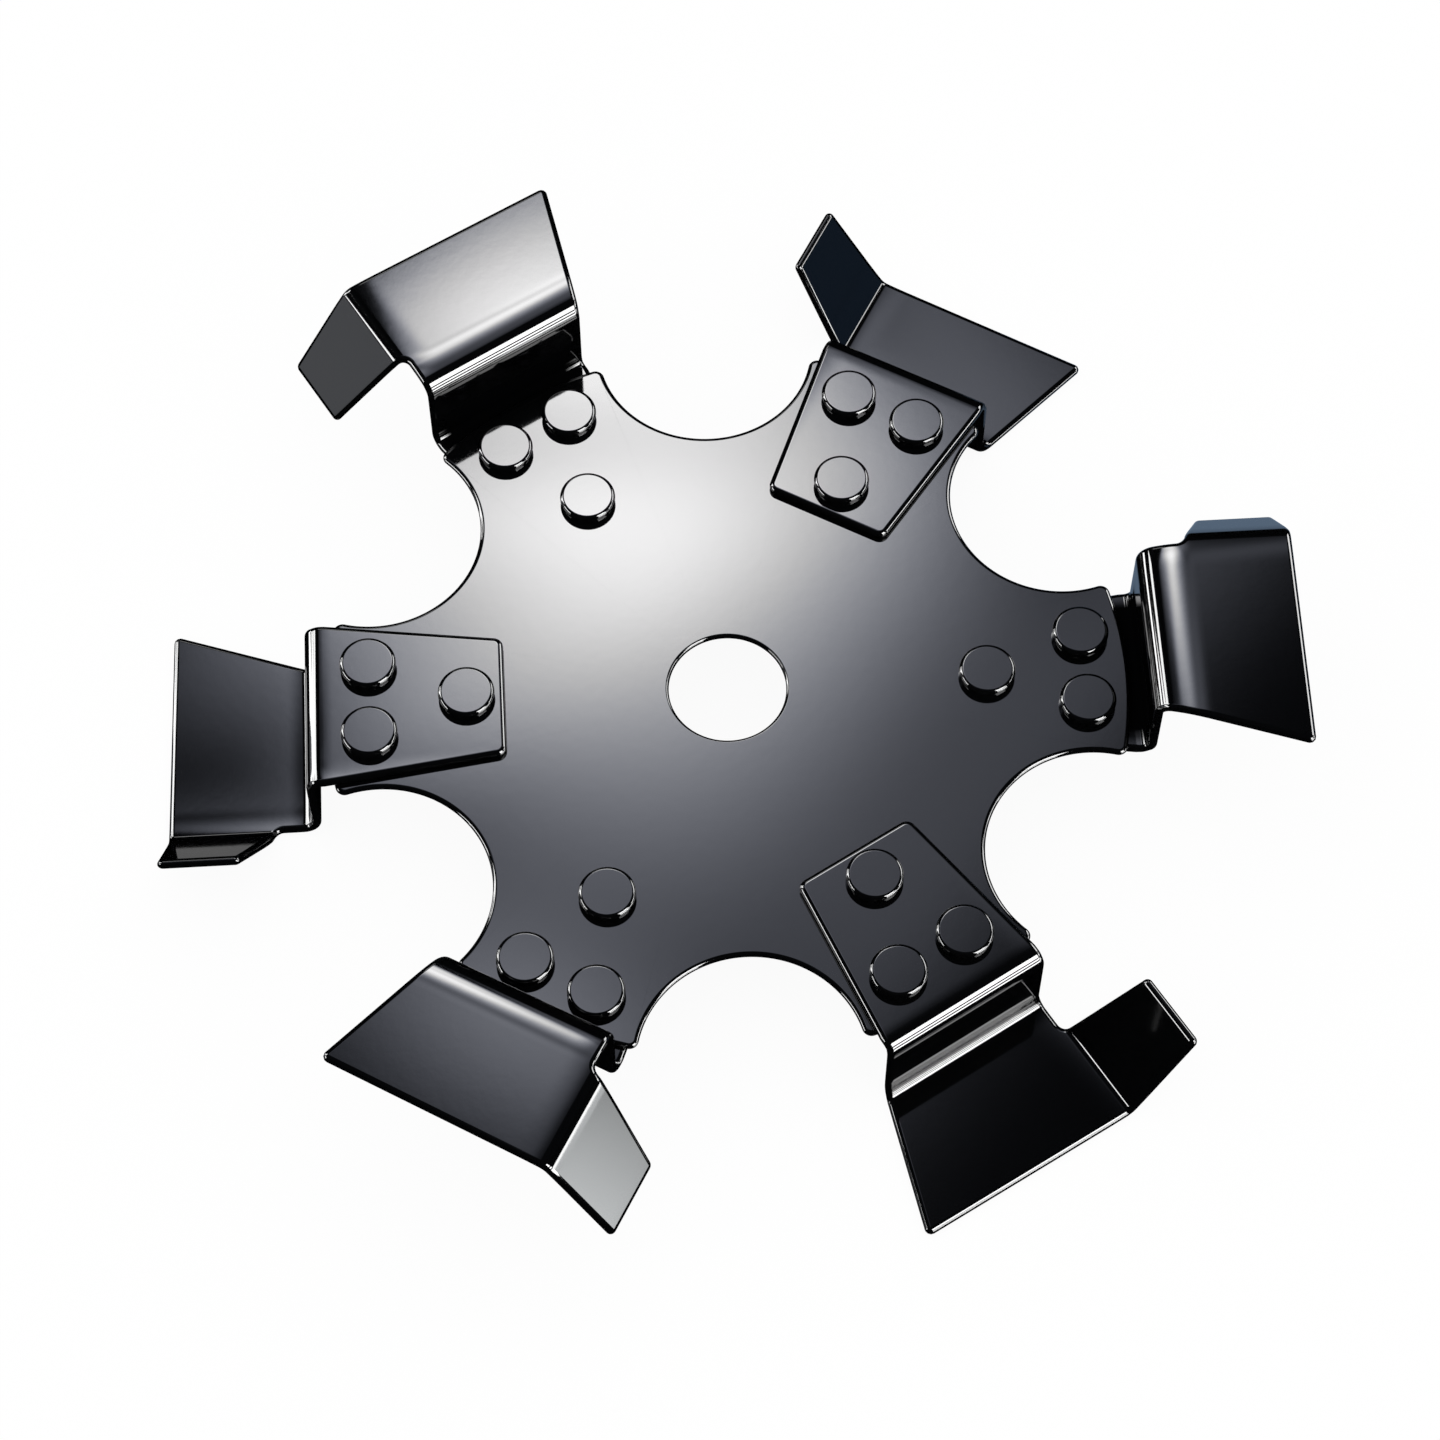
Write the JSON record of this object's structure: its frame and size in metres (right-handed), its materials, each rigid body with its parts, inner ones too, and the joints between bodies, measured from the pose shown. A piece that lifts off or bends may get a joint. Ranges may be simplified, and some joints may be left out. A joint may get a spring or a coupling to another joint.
{
  "type": "ditching wheel",
  "caption": "Flat scalloped disc with a central bore and riveted sheet blades that step alternately above and below it, each with a paddle and a folded wing.",
  "frame": {"origin": "centre of the bore, half-way through the disc's thickness", "axes": "+Z along the bore, towards the rivet heads; +X along arm 1, an arm with an upper blade"},
  "size_m": [0.2456, 0.2476, 0.0402],
  "materials": {
    "disc_coat": "glossy black",
    "blade_coat": "glossy black",
    "rivet_coat": "glossy black"
  },
  "bodies": {
    "root": {"disc": "disc_coat", "upper_blade_1": "blade_coat", "lower_blade_2": "blade_coat", "upper_blade_3": "blade_coat", "lower_blade_4": "blade_coat", "upper_blade_5": "blade_coat", "lower_blade_6": "blade_coat", "rivet_1_inner": "rivet_coat", "rivet_1_leading": "rivet_coat", "rivet_1_trailing": "rivet_coat", "rivet_2_inner": "rivet_coat", "rivet_2_leading": "rivet_coat", "rivet_2_trailing": "rivet_coat", "rivet_3_inner": "rivet_coat", "rivet_3_leading": "rivet_coat", "rivet_3_trailing": "rivet_coat", "rivet_4_inner": "rivet_coat", "rivet_4_leading": "rivet_coat", "rivet_4_trailing": "rivet_coat", "rivet_5_inner": "rivet_coat", "rivet_5_leading": "rivet_coat", "rivet_5_trailing": "rivet_coat", "rivet_6_inner": "rivet_coat", "rivet_6_leading": "rivet_coat", "rivet_6_trailing": "rivet_coat"}
  },
  "joints": []
}
